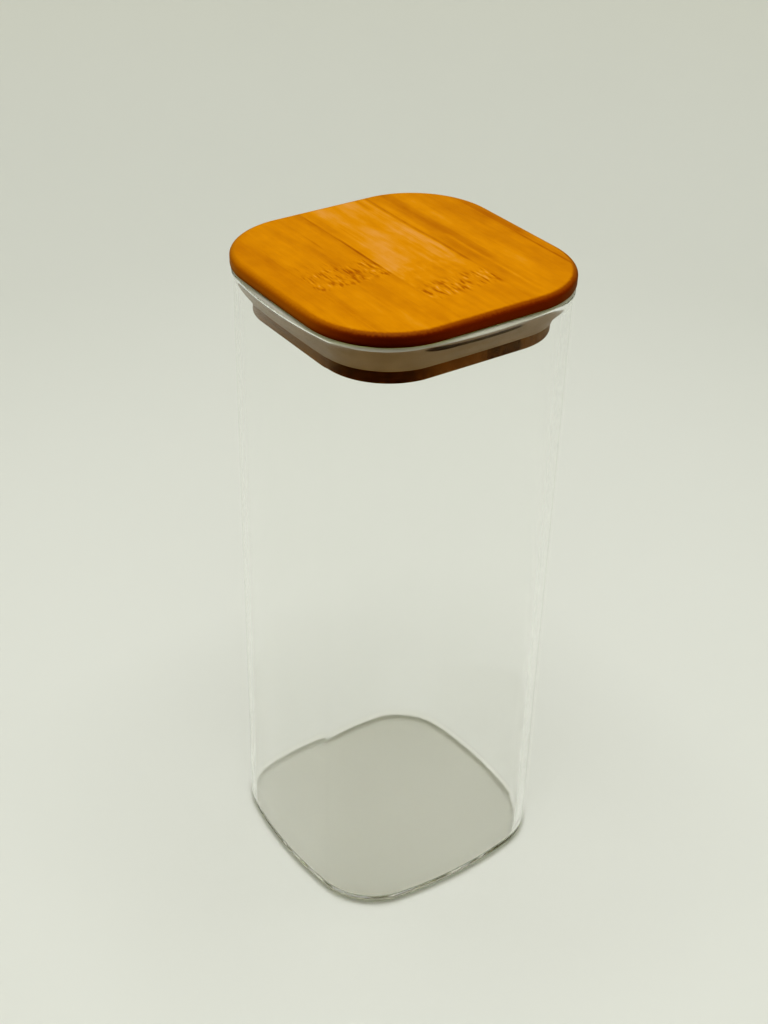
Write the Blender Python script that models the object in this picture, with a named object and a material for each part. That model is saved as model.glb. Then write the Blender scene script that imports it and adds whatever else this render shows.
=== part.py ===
"""Square glass storage jar with a three-ply bamboo lid and a silicone seal.

Metres, +Z up. The origin is the centre of the jar's foot, on the table.
The grain of the lid's top and base plies runs along X, that of its core ply along Y.
"""

import math

import bmesh
import bpy

# Glass body, outside sizes
BODY_WIDTH = 0.1000
BODY_CORNER_RADIUS = 0.0260
SIDE_BOW_RADIUS = 0.1600
JAR_HEIGHT = 0.2427
WALL = 0.0030
HEEL_RADIUS = 0.0038
FOOT_RING_WIDTH = 0.0030
PUSH_UP_HEIGHT = 0.0003
PUSH_UP_SLOPE = 0.0120
FLOOR_THICKNESS = 0.0020
FLOOR_FILLET = 0.0013
RIM_FLARE = 0.0007
RIM_FLARE_HEIGHT = 0.0035

# Lid: a plate whose ledge reaches past the inside of the wall, and a plug with room for the seal
PLATE_LEDGE = 0.0030
PLATE_CORNER_RADIUS = 0.0301
PLATE_TOP_ROUND = 0.0018
PLATE_UNDER_ROUND = 0.0007
SEAL_ROOM = 0.0055
PLUG_CORNER_RADIUS = 0.0223
PLUG_EDGE_ROUND = 0.0008
TOP_PLY = 0.0047
CORE_PLY = 0.0082
BASE_PLY = 0.0082
LID_REST_GAP = 0.0003

# Glue joints between the strips of each ply, as shares of that board's width from its middle
TOP_JOINT_SHARES = (-0.384, -0.107, 0.170, 0.447)
CORE_JOINT_SHARES = (-0.25, 0, 0.25)
BASE_JOINT_SHARES = (-0.44, -0.123, 0.195)
GLUE_GAP = 0.0003

# Seal groove in the plug, and the silicone ring that it holds
GROOVE_DROP = 0.0024
GROOVE_HEIGHT = 0.0048
GROOVE_DEPTH = 0.0022
SEAL_DEPTH = 0.0115
SEAL_FOOT_SHARE = 0.24
SEAL_LIP_HEIGHT = 0.0022
SEAL_EDGE_ROUND = 0.0006
SEAL_FIT = 0.0003
SEAL_WALL_GAP = 0.0003

# Finish of the mesh
CORNER_STEPS = 8
SIDE_STEPS = 4
ROUND_STEPS = 4
LIP_STEPS = 8
CUT_TOLERANCE = 0.0000005
SMOOTH_ANGLE = math.radians(35)

# Finish of the surfaces, and how much lighter or darker each strip is than its ply
GLASS_COLOUR = (0.86, 0.91, 0.87)
SILICONE_COLOUR = (0.55, 0.50, 0.42)
TOP_PLY_COLOUR = (0.64, 0.24, 0.015)
CORE_PLY_COLOUR = (0.42, 0.17, 0.03)
BASE_PLY_COLOUR = (0.36, 0.15, 0.035)
STRIP_TONE_SHARES = (1.00, 0.96, 1.05, 0.93, 0.88)
GLASS_ROUGHNESS = 0.03
GLASS_ALPHA = 0.35
WOOD_ROUGHNESS = 0.45
SILICONE_ROUGHNESS = 0.5
SILICONE_CLARITY = 0.3

# Sizes that follow from those above
MOUTH_HALF = BODY_WIDTH / 2 - WALL
PLATE_HALF = MOUTH_HALF + PLATE_LEDGE
PLUG_HALF = MOUTH_HALF - SEAL_ROOM


def clear_scene():
    for old in list(bpy.data.objects):
        bpy.data.objects.remove(old)


def steps(start, stop, count):
    """count + 1 evenly spaced values from start to stop."""
    return [start + (stop - start) * i / count for i in range(count + 1)]


def arc(centre_x, centre_y, radius, start, stop, count):
    """Points on an arc; start and stop are angles in radians."""
    return [
        (centre_x + radius * math.cos(angle), centre_y + radius * math.sin(angle))
        for angle in steps(start, stop, count)
    ]


def outline(half, corner, bow=0):
    """A square with rounded corners, anticlockwise from its +X side.

    bow is the radius on which each side bows outwards, or 0 for straight sides.
    """
    if bow:
        side_centre = half - bow
        reach = bow - corner
        corner_centre = (side_centre + math.sqrt(2 * reach**2 - side_centre**2)) / 2
        turn = math.atan2(corner_centre, corner_centre - side_centre)
        side = arc(side_centre, 0, bow, -turn, turn, SIDE_STEPS)
    else:
        corner_centre = half - corner
        turn = 0
        side = [(half, y) for y in steps(-corner_centre, corner_centre, SIDE_STEPS)]
    rounding = arc(
        corner_centre, corner_centre, corner, turn, math.pi / 2 - turn, CORNER_STEPS
    )
    quarter = side[:-1] + rounding[:-1]
    points = []
    for _ in range(4):
        points += quarter
        quarter = [(-y, x) for x, y in quarter]
    return points


def ring_at(points, height):
    return [(x, y, height) for x, y in points]


def loft(rings, closed=False):
    """Skins a list of rings. A closed loft is a ring-shaped body, an open one gets end caps."""
    bm = bmesh.new()
    loops = [[bm.verts.new(point) for point in ring] for ring in rings]
    pairs = list(zip(loops, loops[1:]))
    if closed:
        pairs.append((loops[-1], loops[0]))
    for lower, upper in pairs:
        count = len(lower)
        for i in range(count):
            j = (i + 1) % count
            bm.faces.new((lower[i], lower[j], upper[j], upper[i]))
    if not closed:
        bm.faces.new(list(reversed(loops[0])))
        bm.faces.new(loops[-1])
    return bm


def cut_off(bm, axis, position, side):
    """Removes what lies past a plane square to an axis, on its +1 or -1 side, and closes the cut."""
    point = [0, 0, 0]
    point[axis] = position
    normal = [0, 0, 0]
    normal[axis] = side
    geometry = bm.verts[:] + bm.edges[:] + bm.faces[:]
    cut = bmesh.ops.bisect_plane(
        bm,
        geom=geometry,
        dist=CUT_TOLERANCE,
        plane_co=point,
        plane_no=normal,
        clear_outer=True,
    )
    rim = [edge for edge in cut["geom_cut"] if isinstance(edge, bmesh.types.BMEdge)]
    bmesh.ops.edgeloop_fill(bm, edges=rim)
    bmesh.ops.recalc_face_normals(bm, faces=bm.faces[:])


def strips_of(board, axis, joints):
    """Saws a board into strips at its joints, each with half a glue gap at either side of a joint."""
    strips = []
    for i in range(len(joints) + 1):
        strip = board.copy()
        if i > 0:
            cut_off(strip, axis, joints[i - 1] + GLUE_GAP / 2, -1)
        if i < len(joints):
            cut_off(strip, axis, joints[i] - GLUE_GAP / 2, 1)
        strips.append(strip)
    return strips


def make_material(name, colour, roughness, transmission=0.0, alpha=1.0):
    material = bpy.data.materials.new(name)
    material.use_nodes = True
    shader = material.node_tree.nodes["Principled BSDF"]
    shader.inputs["Base Color"].default_value = (*colour, 1.0)
    shader.inputs["Roughness"].default_value = roughness
    shader.inputs["Metallic"].default_value = 0.0
    shader.inputs["Transmission Weight"].default_value = transmission
    shader.inputs["Alpha"].default_value = alpha
    material.diffuse_color = (*colour, alpha)
    return material


def make_object(name, bm, material, parent=None):
    mesh = bpy.data.meshes.new(name)
    bm.to_mesh(mesh)
    bm.free()
    mesh.shade_smooth()
    mesh.set_sharp_from_angle(angle=SMOOTH_ANGLE)
    mesh.materials.append(material)
    piece = bpy.data.objects.new(name, mesh)
    bpy.context.scene.collection.objects.link(piece)
    piece.parent = parent
    return piece


# Glass body

def body_outline(offset):
    """The body's outside outline, moved outwards by offset."""
    return outline(
        BODY_WIDTH / 2 + offset, BODY_CORNER_RADIUS + offset, SIDE_BOW_RADIUS + offset
    )


def jar_profile():
    """(offset from the outside outline, height) from the underside, over the rim, to the floor."""
    foot_inner = -HEEL_RADIUS - FOOT_RING_WIDTH
    floor_top = PUSH_UP_HEIGHT + FLOOR_THICKNESS
    lip_radius = (WALL + RIM_FLARE) / 2
    lip_height = JAR_HEIGHT - lip_radius
    profile = [(foot_inner - PUSH_UP_SLOPE, PUSH_UP_HEIGHT), (foot_inner, 0)]
    profile += arc(
        -HEEL_RADIUS, HEEL_RADIUS, HEEL_RADIUS, -math.pi / 2, 0, ROUND_STEPS
    )
    for share in steps(0, 1, ROUND_STEPS)[:-1]:
        swell = (1 - math.cos(math.pi * share)) / 2
        height = lip_height - RIM_FLARE_HEIGHT * (1 - share)
        profile.append((RIM_FLARE * swell, height))
    profile += arc(
        RIM_FLARE - lip_radius, lip_height, lip_radius, 0, math.pi, LIP_STEPS
    )
    profile += arc(
        -WALL - FLOOR_FILLET,
        floor_top + FLOOR_FILLET,
        FLOOR_FILLET,
        0,
        -math.pi / 2,
        ROUND_STEPS,
    )
    return profile


def make_jar():
    rings = [
        ring_at(body_outline(offset), height) for offset, height in jar_profile()
    ]
    glass = make_material("jar_glass", GLASS_COLOUR, GLASS_ROUGHNESS, 1.0, GLASS_ALPHA)
    make_object("jar_glass", loft(rings), glass)


# Lid, in heights measured from the plate's underside

def make_plate():
    """The top board, from its underside up."""
    profile = arc(
        -PLATE_UNDER_ROUND,
        PLATE_UNDER_ROUND,
        PLATE_UNDER_ROUND,
        -math.pi / 2,
        0,
        ROUND_STEPS,
    )
    profile += arc(
        -PLATE_TOP_ROUND,
        TOP_PLY - PLATE_TOP_ROUND,
        PLATE_TOP_ROUND,
        0,
        math.pi / 2,
        ROUND_STEPS,
    )
    return loft(
        [
            ring_at(outline(PLATE_HALF + offset, PLATE_CORNER_RADIUS + offset), height)
            for offset, height in profile
        ]
    )


def plug_outline(offset):
    return outline(PLUG_HALF + offset, PLUG_CORNER_RADIUS + offset)


def make_plug():
    """The core and base boards as one, with the seal's groove, from the bottom up."""
    bottom = -CORE_PLY - BASE_PLY
    groove_top = -GROOVE_DROP
    groove_bottom = groove_top - GROOVE_HEIGHT
    profile = arc(
        -PLUG_EDGE_ROUND,
        bottom + PLUG_EDGE_ROUND,
        PLUG_EDGE_ROUND,
        -math.pi / 2,
        0,
        ROUND_STEPS,
    )
    profile += [
        (0, groove_bottom),
        (-GROOVE_DEPTH, groove_bottom),
        (-GROOVE_DEPTH, groove_top),
        (0, groove_top),
        (0, -GLUE_GAP),
    ]
    return loft([ring_at(plug_outline(offset), height) for offset, height in profile])


def seal_ring_at(share, inset, height):
    """A ring between the plug, share 0, and the jar's wall, share 1, moved inwards by inset."""
    inner = plug_outline(SEAL_FIT)
    outer = body_outline(-WALL - SEAL_WALL_GAP)
    ring = []
    for (inner_x, inner_y), (outer_x, outer_y) in zip(inner, outer):
        across = math.dist((inner_x, inner_y), (outer_x, outer_y))
        place = share - inset / across
        x = inner_x + (outer_x - inner_x) * place
        y = inner_y + (outer_y - inner_y) * place
        ring.append((x, y, height))
    return ring


def make_seal():
    top = -SEAL_FIT
    bottom = -SEAL_DEPTH
    rib_top = -GROOVE_DROP - SEAL_FIT
    rib_bottom = -GROOVE_DROP - GROOVE_HEIGHT + SEAL_FIT
    rib = plug_outline(SEAL_FIT - GROOVE_DEPTH)
    foot_round = arc(
        SEAL_EDGE_ROUND,
        bottom + SEAL_EDGE_ROUND,
        SEAL_EDGE_ROUND,
        math.pi / 2 * 3,
        math.pi,
        ROUND_STEPS,
    )
    lip_round = arc(
        SEAL_EDGE_ROUND,
        top - SEAL_EDGE_ROUND,
        SEAL_EDGE_ROUND,
        math.pi,
        math.pi / 2,
        ROUND_STEPS,
    )
    rings = [seal_ring_at(0, 0, bottom)]
    rings += [
        seal_ring_at(SEAL_FOOT_SHARE, inset, height) for inset, height in foot_round
    ]
    rings.append(seal_ring_at(1, 0, top - SEAL_LIP_HEIGHT))
    rings += [seal_ring_at(1, inset, height) for inset, height in lip_round]
    rings.append(seal_ring_at(0, 0, top))
    rings.append(seal_ring_at(0, 0, rib_top))
    rings.append(ring_at(rib, rib_top))
    rings.append(ring_at(rib, rib_bottom))
    rings.append(seal_ring_at(0, 0, rib_bottom))
    return loft(rings, closed=True)


def make_ply(name, board, axis, half, joint_shares, colour, lid):
    """One ply of the lid as glued strips, each with its own tone."""
    joints = [share * 2 * half for share in joint_shares]
    for i, strip in enumerate(strips_of(board, axis, joints)):
        tone = STRIP_TONE_SHARES[i % len(STRIP_TONE_SHARES)]
        strip_name = f"{name}_{i + 1}"
        wood_colour = [tone * part for part in colour]
        wood = make_material(strip_name, wood_colour, WOOD_ROUGHNESS)
        make_object(strip_name, strip, wood, lid)
    board.free()


def make_lid():
    lid = bpy.data.objects.new("lid", None)
    bpy.context.scene.collection.objects.link(lid)
    lid.location = (0, 0, JAR_HEIGHT + LID_REST_GAP)

    plate = make_plate()
    core = make_plug()
    cut_off(core, 2, -CORE_PLY + GLUE_GAP / 2, -1)
    base = make_plug()
    cut_off(base, 2, -CORE_PLY - GLUE_GAP / 2, 1)

    make_ply("lid_top_strip", plate, 1, PLATE_HALF, TOP_JOINT_SHARES, TOP_PLY_COLOUR, lid)
    make_ply("lid_core_strip", core, 0, PLUG_HALF, CORE_JOINT_SHARES, CORE_PLY_COLOUR, lid)
    make_ply("lid_base_strip", base, 1, PLUG_HALF, BASE_JOINT_SHARES, BASE_PLY_COLOUR, lid)

    silicone = make_material(
        "seal_ring", SILICONE_COLOUR, SILICONE_ROUGHNESS, SILICONE_CLARITY
    )
    make_object("seal_ring", make_seal(), silicone, lid)


clear_scene()
make_jar()
make_lid()
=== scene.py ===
"""The looks of a square glass storage jar with a bamboo lid and a silicone seal.

Metres, +Z up, in the part's own frame. The grain of the lid's top and base plies
runs along X, that of its core ply along Y.
"""

import math

import bmesh
import bpy
from mathutils import Matrix, Vector, noise


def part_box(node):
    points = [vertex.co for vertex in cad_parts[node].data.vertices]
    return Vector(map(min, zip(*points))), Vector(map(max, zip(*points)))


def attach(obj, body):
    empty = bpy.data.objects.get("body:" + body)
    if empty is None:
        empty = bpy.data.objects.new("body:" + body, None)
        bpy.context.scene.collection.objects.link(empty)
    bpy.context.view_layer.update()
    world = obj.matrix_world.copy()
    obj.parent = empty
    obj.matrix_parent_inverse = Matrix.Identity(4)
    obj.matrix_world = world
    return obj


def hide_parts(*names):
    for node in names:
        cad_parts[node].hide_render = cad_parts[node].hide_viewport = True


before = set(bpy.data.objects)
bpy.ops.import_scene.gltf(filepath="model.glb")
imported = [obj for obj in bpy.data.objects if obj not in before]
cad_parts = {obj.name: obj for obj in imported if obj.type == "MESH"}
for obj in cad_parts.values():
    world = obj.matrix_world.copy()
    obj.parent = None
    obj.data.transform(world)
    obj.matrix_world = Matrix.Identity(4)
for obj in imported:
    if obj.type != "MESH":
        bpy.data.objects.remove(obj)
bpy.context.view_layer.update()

# Camera, as the photograph was taken
CAMERA_PLACE = (0.38142, -0.27329, 0.45565)
CAMERA_HEADING = math.radians(54.87)
CAMERA_DIP = math.radians(33.43)
CAMERA_ROLL = math.radians(1.42)
CAMERA_LENS = 53.72
CAMERA_NEAR = 0.01

# Glass body. What is not here is read from the frame
BODY_CORNER_RADIUS = 0.0260
SIDE_BOW_RADIUS = 0.1600
WALL = 0.0030
RIM_FLARE = 0.0007
RIM_FLARE_HEIGHT = 0.0035
BEAD_HEIGHT = 0.0012
HEEL_RADIUS = 0.0038
FOOT_RING_WIDTH = 0.0030
PUSH_UP_HEIGHT = 0.0003
PUSH_UP_SLOPE = 0.0120
FLOOR_THICKNESS = 0.0020
FLOOR_FILLET = 0.0013
FLOOR_CROWN = 0.0002
WAVE_DEPTH = 0.000006
WAVE_LENGTH = 0.060

# Lid
PLATE_CORNER_RADIUS = 0.0301
PLATE_TOP_ROUND = 0.0018
PLATE_TOP_EASE = 0.0027
PLATE_UNDER_ROUND = 0.0007
PLUG_CORNER_RADIUS = 0.0223
PLUG_EDGE_ROUND = 0.0008
GLUE_LINE = 0.00002
GROOVE_DROP = 0.0024
GROOVE_HEIGHT = 0.0048
GROOVE_DEPTH = 0.0022
TOP_STRIPS = 5
CORE_STRIPS = 4
BASE_STRIPS = 4

# The boards' flat faces have a ring of points this far inside their rounded edges, which keeps
# their shading flat
FACE_INSET = 0.0006

# Seal
SEAL_FOOT_SHARE = 0.24
SEAL_MIDDLE_SHARE = 0.5
SEAL_LIP_HEIGHT = 0.0022
SEAL_EDGE_ROUND = 0.0006
SEAL_WALL_GAP = 0.00008
SEAL_PLUG_GAP = 0.0001

# Fineness of the meshes
CORNER_STEPS = 24
SIDE_STEPS = 16
ROUND_STEPS = 8
WALL_STEPS = 24
PANEL_STEPS = 10
CUT_TOLERANCE = 0.0000005
SMOOTH_ANGLE = math.radians(35)

# Sizes read from the frame
jar_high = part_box("jar_glass")[1]
BODY_HALF = jar_high.x - RIM_FLARE
JAR_HEIGHT = jar_high.z
plate_low, plate_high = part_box("lid_top_strip_3")
PLATE_HALF = plate_high.x
PLATE_TOP = plate_high.z
PLATE_UNDERSIDE = plate_low.z
core_low, core_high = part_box("lid_core_strip_2")
PLUG_HALF = core_high.y
base_low, base_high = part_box("lid_base_strip_2")
CORE_BASE_JOINT = (core_low.z + base_high.z) / 2
PLUG_BOTTOM = base_low.z
GROOVE_HIGH = PLATE_UNDERSIDE - GROOVE_DROP
GROOVE_LOW = GROOVE_HIGH - GROOVE_HEIGHT
seal_low, seal_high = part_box("seal_ring")
SEAL_TOP = seal_high.z
SEAL_BOTTOM = seal_low.z

# The axes' numbers in a point
X_AXIS = 0
Y_AXIS = 1


def joints_of(ply, count, axis):
    """Where a ply's strips meet: the middles of the gaps between its solids."""
    boxes = [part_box(f"lid_{ply}_strip_{i + 1}") for i in range(count)]
    return [(low[1][axis] + high[0][axis]) / 2 for low, high in zip(boxes, boxes[1:])]


TOP_JOINTS = joints_of("top", TOP_STRIPS, Y_AXIS)
CORE_JOINTS = joints_of("core", CORE_STRIPS, X_AXIS)
BASE_JOINTS = joints_of("base", BASE_STRIPS, Y_AXIS)


# Shapes

def steps(start, stop, count):
    """count + 1 evenly spaced values from start to stop."""
    return [start + (stop - start) * i / count for i in range(count + 1)]


def arc(centre_x, centre_y, radius, start, stop, count=ROUND_STEPS):
    """Points on an arc; start and stop are angles in radians."""
    return [
        (centre_x + radius * math.cos(angle), centre_y + radius * math.sin(angle))
        for angle in steps(start, stop, count)
    ]


def outline(half, corner, bow=0):
    """A square with rounded corners, anticlockwise from its +X side.

    bow is the radius on which each side bows outwards, or 0 for straight sides.
    """
    if bow:
        side_centre = half - bow
        reach = bow - corner
        corner_centre = (side_centre + math.sqrt(2 * reach**2 - side_centre**2)) / 2
        turn = math.atan2(corner_centre, corner_centre - side_centre)
        side = arc(side_centre, 0, bow, -turn, turn, SIDE_STEPS)
    else:
        corner_centre = half - corner
        turn = 0
        side = [(half, y) for y in steps(-corner_centre, corner_centre, SIDE_STEPS)]
    rounding = arc(
        corner_centre, corner_centre, corner, turn, math.pi / 2 - turn, CORNER_STEPS
    )
    quarter = side[:-1] + rounding[:-1]
    points = []
    for _ in range(4):
        points += quarter
        quarter = [(-y, x) for x, y in quarter]
    return points


def body_outline(offset):
    """The body's outside outline, moved outwards by offset."""
    return outline(
        BODY_HALF + offset, BODY_CORNER_RADIUS + offset, SIDE_BOW_RADIUS + offset
    )


def plug_outline(offset):
    """The plug's outline, moved outwards by offset."""
    return outline(PLUG_HALF + offset, PLUG_CORNER_RADIUS + offset)


def ring_at(points, height):
    return [Vector((x, y, height)) for x, y in points]


def shrunk(ring, share, height):
    """A ring drawn in towards the Z axis to a share of its size."""
    return [Vector((point.x * share, point.y * share, height)) for point in ring]


def loft(rings, closed=False):
    """Skins a list of rings. A closed loft is a ring-shaped body, an open one gets end caps."""
    bm = bmesh.new()
    loops = [[bm.verts.new(point) for point in ring] for ring in rings]
    pairs = list(zip(loops, loops[1:]))
    if closed:
        pairs.append((loops[-1], loops[0]))
    for lower, upper in pairs:
        count = len(lower)
        for i in range(count):
            j = (i + 1) % count
            bm.faces.new((lower[i], lower[j], upper[j], upper[i]))
    if not closed:
        bm.faces.new(list(reversed(loops[0])))
        bm.faces.new(loops[-1])
    return bm


def cut_off(bm, axis, position, side):
    """Removes what lies past a plane square to an axis, on side +1 or -1, and closes the cut."""
    point = [0, 0, 0]
    point[axis] = position
    normal = [0, 0, 0]
    normal[axis] = side
    cut = bmesh.ops.bisect_plane(
        bm,
        geom=bm.verts[:] + bm.edges[:] + bm.faces[:],
        dist=CUT_TOLERANCE,
        plane_co=point,
        plane_no=normal,
        clear_outer=True,
    )
    rim = [edge for edge in cut["geom_cut"] if isinstance(edge, bmesh.types.BMEdge)]
    bmesh.ops.edgeloop_fill(bm, edges=rim)
    bmesh.ops.recalc_face_normals(bm, faces=bm.faces[:])


def make_piece(name, bm, material, body, node):
    """A finished piece that rides on a body and stands for one of the frame's nodes."""
    mesh = bpy.data.meshes.new(name)
    bm.to_mesh(mesh)
    bm.free()
    mesh.shade_smooth()
    mesh.set_sharp_from_angle(angle=SMOOTH_ANGLE)
    mesh.materials.append(material)
    piece = bpy.data.objects.new(name, mesh)
    bpy.context.scene.collection.objects.link(piece)
    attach(piece, body)
    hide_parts(node)
    return piece


# Materials

# The noise node's values lie round its middle. Stretched, most are within 1 of 0
NOISE_MIDDLE = 0.5
NOISE_STRETCH = 4.0


class Signal:
    """A number that a material works out at each point of a surface."""

    def __init__(self, finish, socket):
        self.finish = finish
        self.socket = socket

    def __add__(self, other):
        return self.finish.math("ADD", self, other)

    def __sub__(self, other):
        return self.finish.math("SUBTRACT", self, other)

    def __rsub__(self, other):
        return self.finish.math("SUBTRACT", other, self)

    def __mul__(self, other):
        return self.finish.math("MULTIPLY", self, other)

    def __truediv__(self, other):
        return self.finish.math("DIVIDE", self, other)

    __radd__ = __add__
    __rmul__ = __mul__


class Finish:
    """A material being built. Most methods add nodes and give back what these work out."""

    def __init__(self, name):
        self.material = bpy.data.materials.new(name)
        self.material.use_nodes = True
        self.tree = self.material.node_tree
        self.shader = self.tree.nodes["Principled BSDF"]
        place = self.add("ShaderNodeTexCoord", output="Object")
        self.x = self.add("ShaderNodeSeparateXYZ", {"Vector": place}, output="X")
        self.y = self.add("ShaderNodeSeparateXYZ", {"Vector": place}, output="Y")
        self.z = self.add("ShaderNodeSeparateXYZ", {"Vector": place}, output="Z")

    def feed(self, socket, value):
        if isinstance(value, Signal):
            self.tree.links.new(value.socket, socket)
        else:
            socket.default_value = value

    def add(self, kind, inputs=None, output=0, **settings):
        node = self.tree.nodes.new(kind)
        for setting, value in settings.items():
            setattr(node, setting, value)
        for key, value in (inputs or {}).items():
            self.feed(node.inputs[key], value)
        return Signal(self, node.outputs[output])

    def math(self, operation, *values):
        return self.add("ShaderNodeMath", dict(enumerate(values)), operation=operation)

    def size_of(self, value):
        """A value without its sign."""
        return self.math("ABSOLUTE", value)

    def noise(self, x, y, z, detail=2.0):
        """Smooth noise about 0, mostly within 1 of it. Coordinates are in its own wavelengths."""
        place = self.add("ShaderNodeCombineXYZ", {"X": x, "Y": y, "Z": z})
        inputs = {"Vector": place, "Scale": 1.0, "Detail": detail}
        raw = self.add("ShaderNodeTexNoise", inputs)
        return (raw - NOISE_MIDDLE) * NOISE_STRETCH

    def clouds(self, size, detail=2.0):
        """Noise of one size in every direction."""
        return self.noise(self.x / size, self.y / size, self.z / size, detail)

    def fade(self, value, start, stop):
        """0 where a value is at start, 1 where it is at stop, smooth between and held past both."""
        return self.add(
            "ShaderNodeMapRange",
            {"Value": value, "From Min": start, "From Max": stop},
            interpolation_type="SMOOTHSTEP",
        )

    def ramp(self, value, start, stop):
        """The same in a straight line."""
        inputs = {"Value": value, "From Min": start, "From Max": stop}
        return self.add("ShaderNodeMapRange", inputs)

    def mix(self, share, first, second):
        """A colour between two colours, which are the node's inputs 6 and 7."""
        inputs = {0: share, 6: first, 7: second}
        return self.add("ShaderNodeMix", inputs, output=2, data_type="RGBA")

    def paint(self, **inputs):
        """Sets the shader's inputs, whose names are written with _ for each space."""
        for key, value in inputs.items():
            self.feed(self.shader.inputs[key.replace("_", " ")], value)

    def bump(self, height):
        normal = self.add("ShaderNodeBump", {"Height": height, "Distance": 1.0})
        self.feed(self.shader.inputs["Normal"], normal)


def rgb(red, green, blue):
    return (red, green, blue, 1.0)


def blend(layers, weights):
    """The sum of the layers that the weights name, each times its weight."""
    return sum(weight * layers[name] for name, weight in weights.items())


# Bamboo

TOP_DARK = rgb(0.300, 0.084, 0.0001)
TOP_MIDDLE = rgb(0.560, 0.212, 0.002)
TOP_LIGHT = rgb(0.655, 0.343, 0.160)
TOP_STRIP_TONES = (-0.07, -0.02, 0.14, -0.03, -0.16)

# Painted shade on the plate's side, where it faces left, right and front as seen from the camera,
# standing in for how the light fell there: at its upper edge, on the side itself and along its
# foot. The right's upper edge is like the front's
LEFT_EDGE_TONE = rgb(0.42, 0.150, 0.001)
LEFT_SIDE_TONE = rgb(0.310, 0.102, 0.001)
LEFT_FOOT_TONE = rgb(0.135, 0.044, 0.0015)
RIGHT_SIDE_TONE = rgb(0.145, 0.038, 0.001)
RIGHT_FOOT_TONE = rgb(0.120, 0.038, 0.001)
FRONT_EDGE_TONE = rgb(0.26, 0.075, 0.001)
FRONT_SIDE_TONE = rgb(0.096, 0.026, 0.0010)
FRONT_FOOT_TONE = rgb(0.048, 0.013, 0.0008)
UNDERSIDE_TONE = rgb(0.10, 0.04, 0.006)

# Where those tones set in: the X over which the side turns from left to front, the Y over which
# it turns from front to right, and the depths under the plate's top from which they grow to full
FRONT_SPAN = (0.006, 0.046)
RIGHT_SPAN = (-0.036, -0.008)
EDGE_DEPTHS = (0.00001, 0.00020)
SIDE_DEPTHS = (0.0001, 0.0010)
FOOT_DEPTHS = (0.0028, 0.0046)
UNDERSIDE_EDGE = 0.0001
EDGE_GRAIN = 0.0009
EDGE_RAGGED_SHARE = 0.4

# The grain's features, by length along the grain and width across it
FIBRE = (0.014, 0.00035)
BAND = (0.050, 0.0018)
BROAD_BAND = (0.120, 0.0070)
BUNDLE = (0.0045, 0.00030)
THREAD = (0.017, 0.0007)

# How far the noise moves on from strip to strip, in its own wavelengths, and how far inside its
# joints a strip's own marks end
STRIP_SHIFT = 7.3
STRIP_EDGE = 0.0004

# Streaks of the lid's top, in shares of the plate's half width: where each lies across the
# grain, its half width, where it starts and stops along the grain, and how dark it is, or how
# light where it is below 0. The first three follow the glue joints
TOP_STREAK_SHARES = (
    (0.894, 0.008, 0.10, 0.72, 0.60),
    (0.340, 0.012, -1.10, 0.24, 0.55),
    (-0.214, 0.009, -0.42, 0.06, 0.85),
    (0.340, 0.010, 0.20, 0.70, 0.20),
    (0.268, 0.016, -1.10, -0.78, 0.50),
    (0.272, 0.010, -0.06, 0.10, 0.45),
    (-0.214, 0.008, -1.10, -0.40, 0.30),
    (-0.165, 0.050, -1.10, -0.08, 0.28),
    (-0.106, 0.006, -0.60, -0.36, 0.28),
    (0.120, 0.022, -0.80, -0.10, 0.12),
    (-0.390, 0.007, -0.56, -0.38, 0.40),
    (0.500, 0.028, -1.10, 0.30, 0.26),
    (0.420, 0.022, -0.10, 0.90, 0.18),
    (0.458, 0.010, -0.10, 0.80, -0.24),
    (0.385, 0.018, -0.86, -0.28, -0.24),
    (-0.450, 0.022, -0.58, 0.02, 0.26),
    (-0.500, 0.010, 0.16, 0.62, 0.18),
    (-0.700, 0.040, -0.56, -0.08, -0.20),
    (0.870, 0.130, -1.10, 1.10, 0.20),
)
STREAK_END = 0.006
STREAK_DRIFT = 0.0005
STREAK_DRIFT_LENGTH = 0.035
STREAK_STRENGTH = 0.85
STREAK_FLICKER = 0.35
STREAK_FLICKER_LENGTH = 0.008
STREAK_FLICKER_STEP = 9

# The scars of the culm's knuckles are columns of dashes. For each column: its strip, its place
# along the grain and its half width in shares of the plate's half width, and its dashes' size.
# A column is full over the core share of its half width and ends over the edge share beyond it
KNUCKLE_STRIPS = (2, 2, 3)
KNUCKLE_SHARES = ((0.0, 0.096), (0.14, 0.072), (0.544, 0.128))
KNUCKLE_DASHES = ((0.0060, 0.0010), (0.0040, 0.0014), (0.0052, 0.0014))
KNUCKLE_CORE_SHARE = 0.4
KNUCKLE_EDGE_SHARE = 0.8
KNUCKLE_DRIFT = 0.0010
KNUCKLE_DRIFT_WIDTH = 0.006
KNUCKLE_LEAN = 0.04
KNUCKLE_NOISE_STEP = 0.001
KNUCKLE_PATCH = (0.005, 0.004, 3.0)
KNUCKLE_PATCH_LEVELS = (-1.0, 0.2)
DARK_DASH_LEVELS = (-0.1, 0.6)
LIGHT_DASH_LEVELS = (0.1, 0.9)

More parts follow.
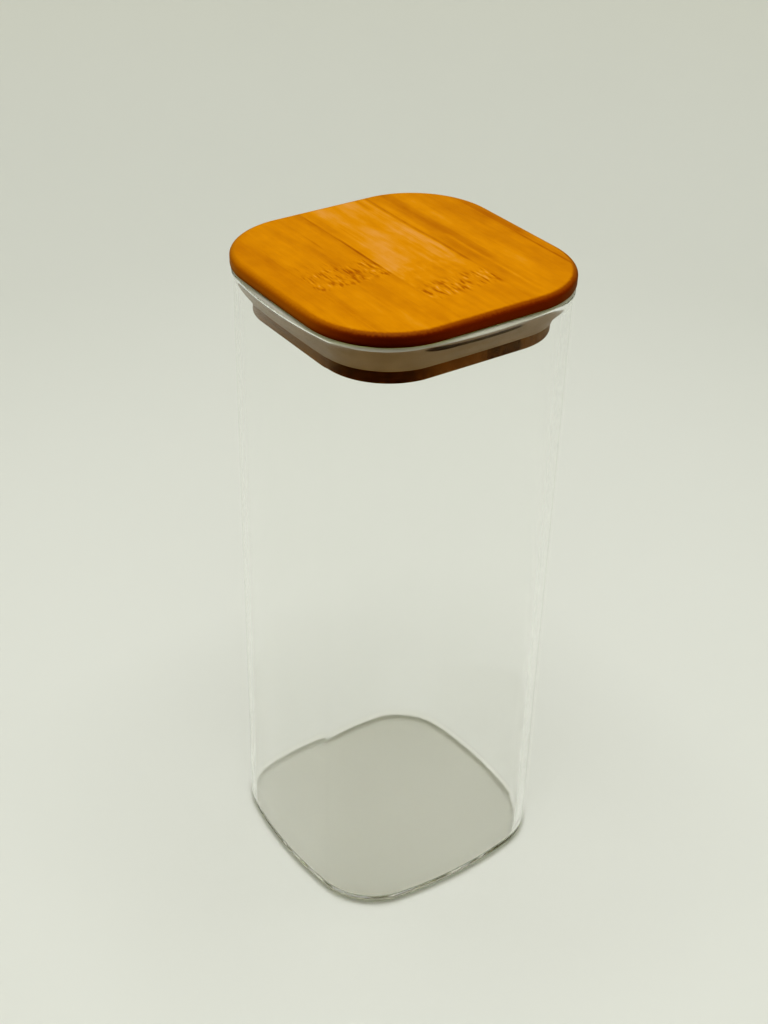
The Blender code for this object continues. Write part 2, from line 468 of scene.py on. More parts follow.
# Other marks of the lid's top. A mark has a length along the grain, a width across it and the
# seed of its noise. Levels are the values of the noise at which marks start and are full, and a
# span is where they do so in place. A window is a middle, the half width over which marks are
# full, and the edge over which they end
THREAD_LEVELS = (0.7, 1.6)
THREAD_SPAN = (0.012, -0.030)
TRAIL = (0.008, 0.0009, 2.0)
TRAIL_LEVELS = (0.2, 0.9)
TRAIL_STRIP = 2
TRAIL_WINDOW = (-0.004, 0.003, 0.007)
TRAIL_SIDE_SPAN = (-0.018, -0.024)
MOTTLE = (0.0045, 0.0028, 9.0)
MOTTLE_LEAST = 0.6
MOTTLE_STRIP = 3
MOTTLE_WINDOW = (0.014, 0.006, 0.005)
CLOUD = (0.022, 0.009, 5.0)
PATCH = (0.008, 0.0035, 4.0)
STRIP_TONE_SPAN = (0.025, -0.005)
STAINED_STRIP = 3
STAIN_EXTRA = 0.4

# What each layer adds to the top's lightness, its roughness and its height
TOP_LIGHTNESS = 0.42
TOP_WEIGHTS = {
    "strips": 1.0,
    "fibres": 0.04,
    "bands": 0.045,
    "broad": 0.07,
    "clouds": 0.09,
    "patches": 0.045,
    "streaks": -0.5,
    "threads": -0.16,
    "trails": -0.16,
    "mottles": 0.05,
    "stains": -0.30,
    "flecks": 0.24,
}
TOP_ROUGHNESS = 0.5
TOP_ROUGHNESS_WEIGHTS = {"fibres": 0.05, "scars": 0.1}
TOP_RELIEF = {"fibres": 0.00001, "threads": -0.00002, "scars": -0.00005, "flecks": 0.00003}
TOP_SPECULAR = 0.12

# The plug: its colours, and the painted shade that darkens its front right corner and the painted
# shadow beside a glue joint, as spans and a window
BASE_DARK = rgb(0.055, 0.023, 0.005)
BASE_LIGHT = rgb(0.20, 0.090, 0.026)
BASE_STRIP_TONES = (0.15, 0.15, 0.10, 0.05)
CORE_DARK = rgb(0.06, 0.02, 0.003)
CORE_LIGHT = rgb(0.20, 0.08, 0.015)
CORE_STRIP_TONES = (0.0, 0.1, -0.1, 0.1)
BUNDLE_LEVELS = (0.9, 1.8)
FRONT_SHADE_SPAN = (0.053, 0.069)
JOINT_SHADOW_WINDOW = (0.0105, 0.0060, 0.0012)
JOINT_SHADOW_SPAN = (0.0, 0.030)
PLUG_LIGHTNESS = 0.5
PLUG_WEIGHTS = {"fibres": 0.14, "bands": 0.16, "bundles": -0.2, "corner": -0.45, "joint_shadow": -0.35}
PLUG_ROUGHNESS = 0.55
PLUG_ROUGHNESS_WEIGHTS = {"fibres": 0.06}
PLUG_RELIEF = {"fibres": 0.00001, "bundles": -0.00002}
PLUG_SPECULAR = 0.08


class Bamboo(Finish):
    """Bamboo in glued strips: fibres, bundles and strip tones. along runs with the grain."""

    def __init__(self, name, along_axis, joints, tones):
        super().__init__(name)
        self.along = getattr(self, along_axis)
        self.across = self.y if along_axis == "x" else self.x
        self.joints = joints
        strip = sum(self.math("GREATER_THAN", self.across, joint) for joint in joints)
        self.shift = strip * STRIP_SHIFT
        self.tone = self.strip_tone(tones)

    def strip_tone(self, tones):
        """Each strip's own tone, below 0 for darker and above 0 for lighter."""
        tone = tones[0]
        for joint, before, after in zip(self.joints, tones, tones[1:]):
            tone = tone + (after - before) * self.math("GREATER_THAN", self.across, joint)
        return tone

    def window(self, value, middle, half, edge):
        """1 within half of the middle, falling to 0 over an edge beyond that."""
        return 1.0 - self.fade(self.size_of(value - middle), half, half + edge)

    def on_strip(self, number):
        """1 on one strip and 0 off it, for a strip that has a joint on each side."""
        low, high = self.joints[number - 2], self.joints[number - 1]
        half = (high - low) / 2 - STRIP_EDGE
        return self.window(self.across, (low + high) / 2, half, STRIP_EDGE)

    def streaks(self, size, detail=2.0):
        """Noise drawn out along the grain, which starts anew on each strip."""
        length, width = size
        along = self.along / length + self.shift
        return self.noise(along, self.across / width, self.z / width, detail)

    def spots(self, mark, detail=2.0):
        """Noise that runs on over the joints."""
        length, width, seed = mark
        return self.noise(self.along / length, self.across / width, seed, detail)

    def streak(self, shares):
        """One long streak of the lid's top, as its table tells."""
        across, width, start, stop, depth = shares
        middle = (start + stop) / 2 * PLATE_HALF
        reach = (stop - start) / 2 * PLATE_HALF
        drift = self.noise(self.along / STREAK_DRIFT_LENGTH, across, 0.0, 1.0)
        place = self.across + STREAK_DRIFT * drift
        row = self.window(place, across * PLATE_HALF, 0.0, 2 * width * PLATE_HALF)
        length = self.window(self.along, middle, reach - STREAK_END, 2 * STREAK_END)
        flicker = self.noise(
            self.along / STREAK_FLICKER_LENGTH, across * STREAK_FLICKER_STEP, 0.0, 1.0
        )
        return depth * row * length * (STREAK_STRENGTH + STREAK_FLICKER * flicker)

    def knuckle(self, number, shares, dash):
        """A column of a knuckle's scar on one strip: leaning dashes, dark and light by turns."""
        place, half = (share * PLATE_HALF for share in shares)
        length, width = dash
        drift = self.noise(self.across / KNUCKLE_DRIFT_WIDTH, place, 0.0, 1.0)
        offset = self.along - place + KNUCKLE_DRIFT * drift
        slope = self.across + KNUCKLE_LEAN * offset
        rows = self.noise(offset / length, slope / width, place / KNUCKLE_NOISE_STEP, 1.0)
        patch_length, patch_width, seed = KNUCKLE_PATCH
        patches = self.noise(offset / patch_length, self.across / patch_width, seed, 1.0)
        near = self.window(offset, 0.0, half * KNUCKLE_CORE_SHARE, half * KNUCKLE_EDGE_SHARE)
        near = near * self.on_strip(number) * self.fade(patches, *KNUCKLE_PATCH_LEVELS)
        dark = self.fade(rows, *DARK_DASH_LEVELS) * near
        light = self.fade(-1.0 * rows, *LIGHT_DASH_LEVELS) * near
        return dark, light


def with_painted_side_shade(grain, face):
    """The plate's colour: face on top, painted shade in the side's darker tones round it, plain
    beneath.
    """
    drop = PLATE_TOP - grain.z
    ragged = grain.noise(grain.x / EDGE_GRAIN, grain.y / EDGE_GRAIN, 0.0)
    depth = drop * (1.0 + EDGE_RAGGED_SHARE * ragged)
    front = grain.fade(grain.x, *FRONT_SPAN)
    right = grain.fade(grain.y, *RIGHT_SPAN)
    edge = grain.mix(front, LEFT_EDGE_TONE, FRONT_EDGE_TONE)
    side = grain.mix(front, LEFT_SIDE_TONE, grain.mix(right, FRONT_SIDE_TONE, RIGHT_SIDE_TONE))
    foot = grain.mix(front, LEFT_FOOT_TONE, grain.mix(right, FRONT_FOOT_TONE, RIGHT_FOOT_TONE))
    colour = grain.mix(grain.ramp(depth, *EDGE_DEPTHS), face, edge)
    colour = grain.mix(grain.ramp(depth, *SIDE_DEPTHS), colour, side)
    colour = grain.mix(grain.fade(drop, *FOOT_DEPTHS), colour, foot)
    below = grain.fade(grain.z, PLATE_UNDERSIDE + UNDERSIDE_EDGE, PLATE_UNDERSIDE)
    return grain.mix(below, colour, UNDERSIDE_TONE)


def bamboo_top():
    grain = Bamboo("bamboo_top", "x", TOP_JOINTS, TOP_STRIP_TONES)
    threads = grain.fade(grain.streaks(THREAD, 1.0), *THREAD_LEVELS)
    trails = grain.fade(grain.spots(TRAIL, 1.0), *TRAIL_LEVELS)
    trails = trails * grain.window(grain.along, *TRAIL_WINDOW) * grain.on_strip(TRAIL_STRIP)
    mottled = grain.window(grain.along, *MOTTLE_WINDOW) * grain.on_strip(MOTTLE_STRIP)
    columns = zip(KNUCKLE_STRIPS, KNUCKLE_SHARES, KNUCKLE_DASHES)
    knuckles = [grain.knuckle(*column) for column in columns]
    scars = sum(dark for dark, light in knuckles)
    layers = {
        "strips": grain.tone * grain.fade(grain.along, *STRIP_TONE_SPAN),
        "fibres": grain.streaks(FIBRE),
        "bands": grain.streaks(BAND),
        "broad": grain.streaks(BROAD_BAND),
        "clouds": grain.spots(CLOUD),
        "patches": grain.spots(PATCH),
        "streaks": sum(grain.streak(shares) for shares in TOP_STREAK_SHARES),
        "threads": threads * grain.fade(grain.along, *THREAD_SPAN),
        "trails": trails * grain.fade(grain.across, *TRAIL_SIDE_SPAN),
        "mottles": (MOTTLE_LEAST + mottled) * grain.spots(MOTTLE),
        "scars": scars,
        "stains": (1.0 + STAIN_EXTRA * grain.on_strip(STAINED_STRIP)) * scars,
        "flecks": sum(light for dark, light in knuckles),
    }
    light = TOP_LIGHTNESS + blend(layers, TOP_WEIGHTS)
    face = grain.mix(grain.ramp(light, 0.0, 0.5), TOP_DARK, TOP_MIDDLE)
    face = grain.mix(grain.ramp(light, 0.5, 1.0), face, TOP_LIGHT)
    roughness = TOP_ROUGHNESS + blend(layers, TOP_ROUGHNESS_WEIGHTS)
    # Round the face, the plate's side carries painted shade
    grain.paint(Base_Color=with_painted_side_shade(grain, face), Roughness=roughness)
    grain.paint(Specular_IOR_Level=TOP_SPECULAR)
    grain.bump(blend(layers, TOP_RELIEF))
    return grain.material


def bamboo_plug(name, along_axis, joints, tones, dark, light):
    grain = Bamboo(name, along_axis, joints, tones)
    layers = {
        "fibres": grain.streaks(FIBRE),
        "bands": grain.streaks(BAND),
        "bundles": grain.fade(grain.streaks(BUNDLE), *BUNDLE_LEVELS),
        # Painted shade on the front right corner, and a painted shadow beside a glue joint
        "corner": grain.fade(grain.x - grain.y, *FRONT_SHADE_SPAN),
        "joint_shadow": grain.window(grain.y, *JOINT_SHADOW_WINDOW) * grain.fade(grain.x, *JOINT_SHADOW_SPAN),
    }
    share = PLUG_LIGHTNESS + grain.tone + blend(layers, PLUG_WEIGHTS)
    roughness = PLUG_ROUGHNESS + blend(layers, PLUG_ROUGHNESS_WEIGHTS)
    grain.paint(Base_Color=grain.mix(grain.fade(share, 0.0, 1.0), dark, light))
    grain.paint(Roughness=roughness, Specular_IOR_Level=PLUG_SPECULAR)
    grain.bump(blend(layers, PLUG_RELIEF))
    return grain.material


def make_strips(ply, board, axis, joints, material):
    """Saws a board at its glue joints. Each strip stands for the solid of the same number."""
    cuts = [None, *joints, None]
    for i, (start, stop) in enumerate(zip(cuts, cuts[1:])):
        strip = board.copy()
        if start is not None:
            cut_off(strip, axis, start + GLUE_LINE / 2, -1)
        if stop is not None:
            cut_off(strip, axis, stop - GLUE_LINE / 2, 1)
        node = f"lid_{ply}_strip_{i + 1}"
        make_piece(f"bamboo_{ply}_{i + 1}", strip, material, "lid", node)
    board.free()


def make_plate():
    """The top ply: its underside, rounded edge and flat top."""
    profile = [(-PLATE_UNDER_ROUND - FACE_INSET, PLATE_UNDERSIDE)]
    profile += arc(
        -PLATE_UNDER_ROUND, PLATE_UNDERSIDE + PLATE_UNDER_ROUND, PLATE_UNDER_ROUND,
        -math.pi / 2, 0,
    )
    for sideways, upwards in arc(0, 0, 1, 0, math.pi / 2):
        height = PLATE_TOP - PLATE_TOP_ROUND * (1 - upwards)
        profile.append((-PLATE_TOP_EASE * (1 - sideways), height))
    profile.append((-PLATE_TOP_EASE - FACE_INSET, PLATE_TOP))
    board = loft(
        [
            ring_at(outline(PLATE_HALF + offset, PLATE_CORNER_RADIUS + offset), height)
            for offset, height in profile
        ]
    )
    make_strips("top", board, Y_AXIS, TOP_JOINTS, bamboo_top())


def make_plug():
    """The core and base plies, with the seal's groove in the core ply."""
    base_profile = [(-PLUG_EDGE_ROUND - FACE_INSET, PLUG_BOTTOM)]
    base_profile += arc(
        -PLUG_EDGE_ROUND, PLUG_BOTTOM + PLUG_EDGE_ROUND, PLUG_EDGE_ROUND,
        -math.pi / 2, 0,
    )
    base_profile.append((0, CORE_BASE_JOINT - GLUE_LINE / 2))
    core_profile = [
        (0, CORE_BASE_JOINT + GLUE_LINE / 2),
        (0, GROOVE_LOW),
        (-GROOVE_DEPTH, GROOVE_LOW),
        (-GROOVE_DEPTH, GROOVE_HIGH),
        (0, GROOVE_HIGH),
        (0, PLATE_UNDERSIDE - GLUE_LINE),
    ]
    base = loft([ring_at(plug_outline(offset), z) for offset, z in base_profile])
    core = loft([ring_at(plug_outline(offset), z) for offset, z in core_profile])
    base_wood = bamboo_plug(
        "bamboo_base", "x", BASE_JOINTS, BASE_STRIP_TONES, BASE_DARK, BASE_LIGHT
    )
    core_wood = bamboo_plug(
        "bamboo_core", "y", CORE_JOINTS, CORE_STRIP_TONES, CORE_DARK, CORE_LIGHT
    )
    make_strips("base", base, Y_AXIS, BASE_JOINTS, base_wood)
    make_strips("core", core, X_AXIS, CORE_JOINTS, core_wood)


# Seal

SILICONE_DARK = rgb(0.210, 0.138, 0.080)
SILICONE_LIGHT = rgb(0.325, 0.221, 0.142)
SILICONE_CLOUD = 0.006
SILICONE_SPECK = 0.0006
SPECK_LEVELS = (1.2, 2.0)
SILICONE_LIGHTNESS = 0.5
SILICONE_WEIGHTS = {"clouds": 0.2, "specks": -0.3}
SILICONE_ROUGHNESS = 0.45
SILICONE_ROUGHNESS_WEIGHTS = {"clouds": 0.08}
SILICONE_RELIEF = {"clouds": 0.00002}
SILICONE_SPECULAR = 0.2
SILICONE_CLEAR = 0.15
SILICONE_IOR = 1.41

# A crease in the seal, on the +X side: the Y at which it starts, is deepest and ends, its depth,
# and where it lies on the seal's slope and how far it spreads there, as shares from the foot
CREASE_START = -0.0240
CREASE_DEEPEST = -0.0125
CREASE_END = 0.0147
CREASE_DEPTH = 0.0008
CREASE_SHARE = 0.78
CREASE_SPREAD_SHARE = 0.25

# The crease's dark line is a painted shadow: how far its lower edge lies under the seal's top where
# the crease is deepest, how much that edge rises to its start and its end, its width, the blur of
# its edges, how far out from the plug it is full, and after which share of its way it fades to each
# end
CREASE_DROP = 0.00432
CREASE_START_RISE = 0.0009
CREASE_END_RISE = 0.00045
CREASE_WIDTH = 0.0006
CREASE_BLUR = 0.00003
CREASE_SIDE_EDGE = 0.0005
CREASE_START_TIP_SHARE = 0.97
CREASE_END_TIP_SHARE = 0.90
CREASE_SHADOW_TONE = rgb(0.030, 0.010, 0.0005)


def crease_shadow_on(seal):
    """1 on the crease's painted shadow line and 0 off it."""
    before = seal.ramp(seal.y, CREASE_DEEPEST, CREASE_START)
    after = seal.ramp(seal.y, CREASE_DEEPEST, CREASE_END)
    rise = CREASE_START_RISE * before * before + CREASE_END_RISE * after * after
    height = seal.z - (SEAL_TOP - CREASE_DROP) - rise
    line = seal.fade(height, -CREASE_BLUR, CREASE_BLUR)
    line = line * seal.fade(height, CREASE_WIDTH + CREASE_BLUR, CREASE_WIDTH - CREASE_BLUR)
    line = line * seal.fade(before, 1.0, CREASE_START_TIP_SHARE)
    line = line * seal.fade(after, 1.0, CREASE_END_TIP_SHARE)
    return line * seal.fade(seal.x, PLUG_HALF, PLUG_HALF + CREASE_SIDE_EDGE)


def silicone():
    seal = Finish("silicone")
    layers = {
        "clouds": seal.clouds(SILICONE_CLOUD, 3.0),
        "specks": seal.fade(seal.clouds(SILICONE_SPECK), *SPECK_LEVELS),
    }
    light = SILICONE_LIGHTNESS + blend(layers, SILICONE_WEIGHTS)
    colour = seal.mix(seal.fade(light, 0.0, 1.0), SILICONE_DARK, SILICONE_LIGHT)
    roughness = SILICONE_ROUGHNESS + blend(layers, SILICONE_ROUGHNESS_WEIGHTS)
    # The crease's painted shadow line darkens the silicone there
    seal.paint(Base_Color=seal.mix(crease_shadow_on(seal), colour, CREASE_SHADOW_TONE), Roughness=roughness)
    seal.paint(Specular_IOR_Level=SILICONE_SPECULAR)
    seal.paint(Transmission_Weight=SILICONE_CLEAR, IOR=SILICONE_IOR)
    seal.bump(blend(layers, SILICONE_RELIEF))
    return seal.material


def crease_at(x, y):
    """How deep the seal's crease is at a place on its outline."""
    if x < PLUG_HALF or not CREASE_START < y < CREASE_END:
        return 0.0
    rise = (y - CREASE_START) / (CREASE_DEEPEST - CREASE_START)
    fall = (CREASE_END - y) / (CREASE_END - CREASE_DEEPEST)
    return CREASE_DEPTH * min(rise, fall, 1.0)


def seal_ring_at(share, inset, height, crease=0.0):
    """A ring between the plug, share 0, and the jar's wall, share 1, moved inwards by inset.

    crease is how much of the crease's depth the ring takes.
    """
    inner = plug_outline(SEAL_PLUG_GAP)
    outer = body_outline(-WALL - SEAL_WALL_GAP)
    ring = []
    for (inner_x, inner_y), (outer_x, outer_y) in zip(inner, outer):
        across = math.dist((inner_x, inner_y), (outer_x, outer_y))
        place = share - (inset + crease * crease_at(outer_x, outer_y)) / across
        x = inner_x + (outer_x - inner_x) * place
        y = inner_y + (outer_y - inner_y) * place
        ring.append(Vector((x, y, height)))
    return ring


def make_seal():
    """The seal: a tapered ring between the plug and the wall, with a rib in the plug's groove."""
    foot_top = SEAL_BOTTOM + SEAL_EDGE_ROUND
    foot_round = arc(SEAL_EDGE_ROUND, foot_top, SEAL_EDGE_ROUND, math.pi / 2 * 3, math.pi)
    lip_round = arc(
        SEAL_EDGE_ROUND, SEAL_TOP - SEAL_EDGE_ROUND, SEAL_EDGE_ROUND, math.pi, math.pi / 2
    )
    rings = [seal_ring_at(0, 0, SEAL_BOTTOM)]
    rings.append(seal_ring_at(SEAL_FOOT_SHARE / 2, 0, SEAL_BOTTOM))
    rings += [seal_ring_at(SEAL_FOOT_SHARE, inset, height) for inset, height in foot_round]
    for share in steps(0, 1, ROUND_STEPS)[1:]:
        height = foot_top + (SEAL_TOP - SEAL_LIP_HEIGHT - foot_top) * share
        reach = SEAL_FOOT_SHARE + (1 - SEAL_FOOT_SHARE) * share
        crease = max(0, 1 - abs(share - CREASE_SHARE) / CREASE_SPREAD_SHARE)
        rings.append(seal_ring_at(reach, 0, height, crease))
    rings += [seal_ring_at(1, inset, height) for inset, height in lip_round]
    rings.append(seal_ring_at(SEAL_MIDDLE_SHARE, 0, SEAL_TOP))
    rings.append(seal_ring_at(0, 0, SEAL_TOP))
    rib = plug_outline(SEAL_PLUG_GAP - GROOVE_DEPTH)
    rib_high = GROOVE_HIGH - SEAL_PLUG_GAP
    rib_low = GROOVE_LOW + SEAL_PLUG_GAP
    rings.append(seal_ring_at(0, 0, rib_high))
    rings.append(ring_at(rib, rib_high))
    rings.append(ring_at(rib, rib_low))
    rings.append(seal_ring_at(0, 0, rib_low))
    make_piece("silicone_seal", loft(rings, True), silicone(), "lid", "seal_ring")


# Glass

# Its tints, of which the second is mixed in with the waves, and the share of the light that it
# lets through unscattered: the body, and the bead of its rim
GLASS_TINTS = (rgb(1.0, 1.0, 1.0), rgb(0.997, 0.999, 0.996))
GLASS_CLEAR = 1.0
# The bead's pale tint, which scatters part of the light, is painted light: it stands in for the
# light that the glass carries up its wall to the rim
RIM_PAINTED_LIGHT_TINTS = (rgb(1.0, 0.95, 0.89), rgb(0.98, 0.94, 0.875))
RIM_CLEAR = 0.58

# The tint near the foot, and the heights over which it sets in
FOOT_TINT = rgb(1.0, 0.996, 0.970)
FOOT_TINT_SPAN = (0.006, 0.003)

# The waves' sizes along and up the sides, what they add to the roughness, and what the rim adds
# to it, over the depths under the rim's top where it sets in and is full
GLASS_WAVE_WIDTH = 0.03
GLASS_WAVE_HEIGHT = 0.05
GLASS_WAVE_LEVELS = (-1.5, 1.5)
ROUGH_WAVE_LEVELS = (0.0, 2.0)
WAVE_ROUGHNESS = 0.004
RIM_ROUGHNESS = 0.12
RIM_ROUGH_START = 0.0045
RIM_ROUGH_FULL = 0.0025

GLASS_IOR = 1.5
GLASS_SPECULAR_TINT = rgb(0.05, 0.05, 0.05)
GLASS_ABSORPTION = rgb(0.815, 0.83, 0.68)
GLASS_DENSITY = 3.5


def glass(name, tints, clear):
    """Pale glass, smooth but at the rim."""
    body = Finish(name)
    waves = body.noise(
        body.x / GLASS_WAVE_WIDTH, body.y / GLASS_WAVE_WIDTH, body.z / GLASS_WAVE_HEIGHT
    )
    tint = body.mix(body.fade(waves, *GLASS_WAVE_LEVELS), *tints)
    tint = body.mix(body.fade(body.z, *FOOT_TINT_SPAN), tint, FOOT_TINT)
    rim = body.fade(body.z, JAR_HEIGHT - RIM_ROUGH_START, JAR_HEIGHT - RIM_ROUGH_FULL)
    roughness = body.fade(waves, *ROUGH_WAVE_LEVELS) * WAVE_ROUGHNESS + RIM_ROUGHNESS * rim
    body.paint(Base_Color=tint, Roughness=roughness, Transmission_Weight=clear)
    body.paint(IOR=GLASS_IOR, Specular_Tint=GLASS_SPECULAR_TINT)
    volume = body.tree.nodes.new("ShaderNodeVolumeAbsorption")
    volume.inputs["Color"].default_value = GLASS_ABSORPTION
    volume.inputs["Density"].default_value = GLASS_DENSITY
    output = body.tree.nodes["Material Output"]
    body.tree.links.new(volume.outputs[0], output.inputs["Volume"])
    return body.material


def jar_profile():
    """(offset from the outside outline, height) from the underside, over the rim, to the floor."""
    foot_inner = -HEEL_RADIUS - FOOT_RING_WIDTH
    floor_top = PUSH_UP_HEIGHT + FLOOR_THICKNESS
    lip_radius = (WALL + RIM_FLARE) / 2
    lip_height = JAR_HEIGHT - lip_radius
    profile = []
    for share in steps(0, 1, ROUND_STEPS):
        rise = (1 + math.cos(math.pi * share)) / 2
        profile.append((foot_inner - PUSH_UP_SLOPE * (1 - share), PUSH_UP_HEIGHT * rise))
    profile.append((foot_inner + FOOT_RING_WIDTH / 2, 0))
    profile += arc(-HEEL_RADIUS, HEEL_RADIUS, HEEL_RADIUS, -math.pi / 2, 0)
    flare_start = lip_height - RIM_FLARE_HEIGHT
    profile += [(0, z) for z in steps(HEEL_RADIUS, flare_start, WALL_STEPS)[1:-1]]
    for share in steps(0, 1, ROUND_STEPS)[:-1]:
        swell = (1 - math.cos(math.pi * share)) / 2
        profile.append((RIM_FLARE * swell, flare_start + RIM_FLARE_HEIGHT * share))
    profile += arc(RIM_FLARE - lip_radius, lip_height, lip_radius, 0, math.pi, 2 * ROUND_STEPS)
    floor_join = floor_top + FLOOR_FILLET
    profile += [(-WALL, z) for z in steps(lip_height, floor_join, WALL_STEPS)[1:-1]]
    profile += arc(-WALL - FLOOR_FILLET, floor_join, FLOOR_FILLET, 0, -math.pi / 2)
    return profile


def waved(ring):
    """A ring with the slight waviness of blown glass, square to its outline."""
    count = len(ring)
    moved = []
    for i, point in enumerate(ring):
        tangent = ring[(i + 1) % count] - ring[i - 1]
        outwards = Vector((tangent.y, -tangent.x, 0)).normalized()
        moved.append(point + outwards * WAVE_DEPTH * noise.noise(point / WAVE_LENGTH))
    return moved


def make_jar():
    """The glass in one piece. The faces of its bead take the second material, whose pale tint is
    painted light.
    """
    rings = [waved(ring_at(body_outline(offset), z)) for offset, z in jar_profile()]
    under = rings[0]
    inside = rings[-1]
    panel = steps(1, 0, PANEL_STEPS)[1:-1]
    rings = [shrunk(under, share, PUSH_UP_HEIGHT) for share in reversed(panel)] + rings
    floor_top = PUSH_UP_HEIGHT + FLOOR_THICKNESS
    for share in panel:
        height = floor_top + FLOOR_CROWN * (1 - share**2)
        rings.append(shrunk(inside, share, height))
    body = loft(rings)
    for face in body.faces:
        if face.calc_center_median().z > JAR_HEIGHT - BEAD_HEIGHT:
            face.material_index = 1
    wall = glass("jar_glass", GLASS_TINTS, GLASS_CLEAR)
    bead = glass("jar_rim", RIM_PAINTED_LIGHT_TINTS, RIM_CLEAR)
    make_piece("glass_body", body, wall, "jar", "jar_glass").data.materials.append(bead)


# Floor, light and camera

FLOOR_DROP = 0.0001
FLOOR_RADIUS = 0.55
FLOOR_INNER_SHARE = 0.5
FLOOR_SIDES = 128
SWEEP_RADIUS = 0.55
SWEEP_STEPS = 24
SWEEP_WALL = 0.9

# The paper's colours: on the floor, in its clouds, and up the sweep from this height on
PAPER_COLOUR = rgb(0.722, 0.734, 0.677)
PAPER_CLOUD_COLOUR = rgb(0.712, 0.725, 0.667)
PAPER_CLOUD = 0.2
PAPER_CLOUD_LEVELS = (-1.5, 1.5)
SWEEP_COLOUR = rgb(0.71, 0.715, 0.63)
SWEEP_COLOUR_HEIGHT = 0.25
PAPER_ROUGHNESS = 0.9
PAPER_SPECULAR = 0.1


def floor_paper():
    paper = Finish("floor_paper")
    clouds = paper.fade(paper.clouds(PAPER_CLOUD), *PAPER_CLOUD_LEVELS)
    colour = paper.mix(clouds, PAPER_COLOUR, PAPER_CLOUD_COLOUR)
    colour = paper.mix(paper.fade(paper.z, 0.0, SWEEP_COLOUR_HEIGHT), colour, SWEEP_COLOUR)
    paper.paint(Base_Color=colour, Roughness=PAPER_ROUGHNESS)
    paper.paint(Specular_IOR_Level=PAPER_SPECULAR)
    return paper.material


def make_floor():
    """A round floor that sweeps up all round, so that no horizon shows from any side."""
    profile = [(FLOOR_INNER_SHARE * FLOOR_RADIUS, 0), (FLOOR_RADIUS, 0)]
    profile += arc(FLOOR_RADIUS, SWEEP_RADIUS, SWEEP_RADIUS, -math.pi / 2, 0, SWEEP_STEPS)[1:]
    profile.append((FLOOR_RADIUS + SWEEP_RADIUS, SWEEP_WALL))
    bm = bmesh.new()
    turns = steps(0, 2 * math.pi, FLOOR_SIDES)[:-1]
    loops = []
    for radius, height in profile:
        loops.append([
            bm.verts.new((radius * math.cos(turn), radius * math.sin(turn), height - FLOOR_DROP))
            for turn in turns
        ])
    bm.faces.new(loops[0])
    for lower, upper in zip(loops, loops[1:]):
        for i in range(FLOOR_SIDES):
            j = (i + 1) % FLOOR_SIDES
            bm.faces.new((lower[i], upper[i], upper[j], lower[j]))
    mesh = bpy.data.meshes.new("floor")
    bm.to_mesh(mesh)
    bm.free()
    mesh.shade_smooth()
    mesh.materials.append(floor_paper())
    floor = bpy.data.objects.new("floor", mesh)
    bpy.context.scene.collection.objects.link(floor)


# Softboxes, all at one height and turned to the jar's foot: one overhead, one behind the camera
# and one on each flank, a quarter turn from it round the jar
LIGHT_HEIGHT = 1.12
OVERHEAD_WIDTH = 0.62
OVERHEAD_POWER = 5.2
FRONT_LIGHT_X = 0.40
FRONT_LIGHT_Y = -0.286
FRONT_LIGHT_POWER = 2.1
FLANK_LIGHT_POWER = 0.95
SIDE_LIGHT_WIDTH = 0.80
STUDIO_COLOUR = rgb(1.0, 1.0, 0.98)
STUDIO_STRENGTH = 0.40


def make_softbox(name, x, y, width, power):
    light = bpy.data.lights.new(name, "AREA")
    light.shape = "SQUARE"
    light.size = width
    light.energy = power
    box = bpy.data.objects.new(name, light)
    box.location = (x, y, LIGHT_HEIGHT)
    box.rotation_euler = (-box.location).to_track_quat("-Z", "Y").to_euler()
    bpy.context.scene.collection.objects.link(box)


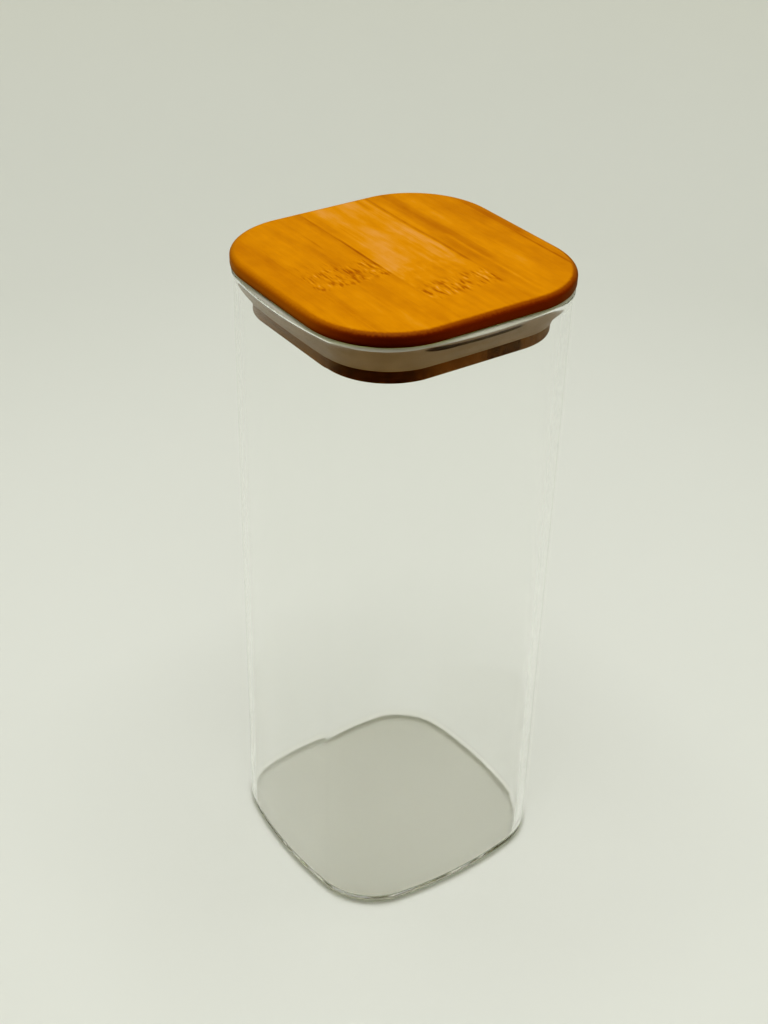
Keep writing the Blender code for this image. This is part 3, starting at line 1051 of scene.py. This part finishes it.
def make_light():
    world = bpy.data.worlds.new("studio")
    world.use_nodes = True
    background = world.node_tree.nodes["Background"]
    background.inputs["Color"].default_value = STUDIO_COLOUR
    background.inputs["Strength"].default_value = STUDIO_STRENGTH
    bpy.context.scene.world = world
    make_softbox("overhead", 0, 0, OVERHEAD_WIDTH, OVERHEAD_POWER)
    make_softbox("front", FRONT_LIGHT_X, FRONT_LIGHT_Y, SIDE_LIGHT_WIDTH, FRONT_LIGHT_POWER)
    make_softbox("left", FRONT_LIGHT_Y, -FRONT_LIGHT_X, SIDE_LIGHT_WIDTH, FLANK_LIGHT_POWER)
    make_softbox("right", -FRONT_LIGHT_Y, FRONT_LIGHT_X, SIDE_LIGHT_WIDTH, FLANK_LIGHT_POWER)


def make_camera():
    camera = bpy.data.objects.new("camera", bpy.data.cameras.new("camera"))
    camera.data.lens = CAMERA_LENS
    camera.data.clip_start = CAMERA_NEAR
    turn = Matrix.Rotation(CAMERA_HEADING, 4, "Z")
    tilt = Matrix.Rotation(math.pi / 2 - CAMERA_DIP, 4, "X")
    roll = Matrix.Rotation(CAMERA_ROLL, 4, "Z")
    camera.matrix_world = Matrix.Translation(CAMERA_PLACE) @ turn @ tilt @ roll
    bpy.context.scene.collection.objects.link(camera)
    bpy.context.scene.camera = camera


# How often light may turn inside the glass, which carries it from the foot up to the rim
GLASS_BOUNCES = 128

# The photograph's deep shadows: its tone curve, as places and heights from black, 0, to white, 1
TONE_CURVE = (
    (0.0, 0.0),
    (0.03, 0.004),
    (0.06, 0.022),
    (0.12, 0.082),
    (0.30, 0.277),
    (0.75, 0.75),
    (1.0, 1.0),
)

# The number of the curve that all three colours share
ALL_COLOURS = 3


def set_up_picture():
    """Sets how light is traced through the glass and how it is shown."""
    scene = bpy.context.scene
    scene.view_settings.view_transform = "Standard"
    scene.cycles.blur_glossy = 0.0
    scene.cycles.max_bounces = GLASS_BOUNCES
    scene.cycles.glossy_bounces = GLASS_BOUNCES
    scene.cycles.transmission_bounces = GLASS_BOUNCES
    scene.use_nodes = True
    tree = scene.node_tree
    tree.nodes.clear()
    picture = tree.nodes.new("CompositorNodeRLayers")
    curve = tree.nodes.new("CompositorNodeCurveRGB")
    result = tree.nodes.new("CompositorNodeComposite")
    points = curve.mapping.curves[ALL_COLOURS].points
    while len(points) < len(TONE_CURVE):
        points.new(0.5, 0.5)
    for point, place in zip(points, TONE_CURVE):
        point.location = place
    curve.mapping.update()
    tree.links.new(picture.outputs["Image"], curve.inputs["Image"])
    tree.links.new(curve.outputs["Image"], result.inputs["Image"])


make_jar()
make_plate()
make_plug()
make_seal()
make_floor()
make_light()
make_camera()
set_up_picture()
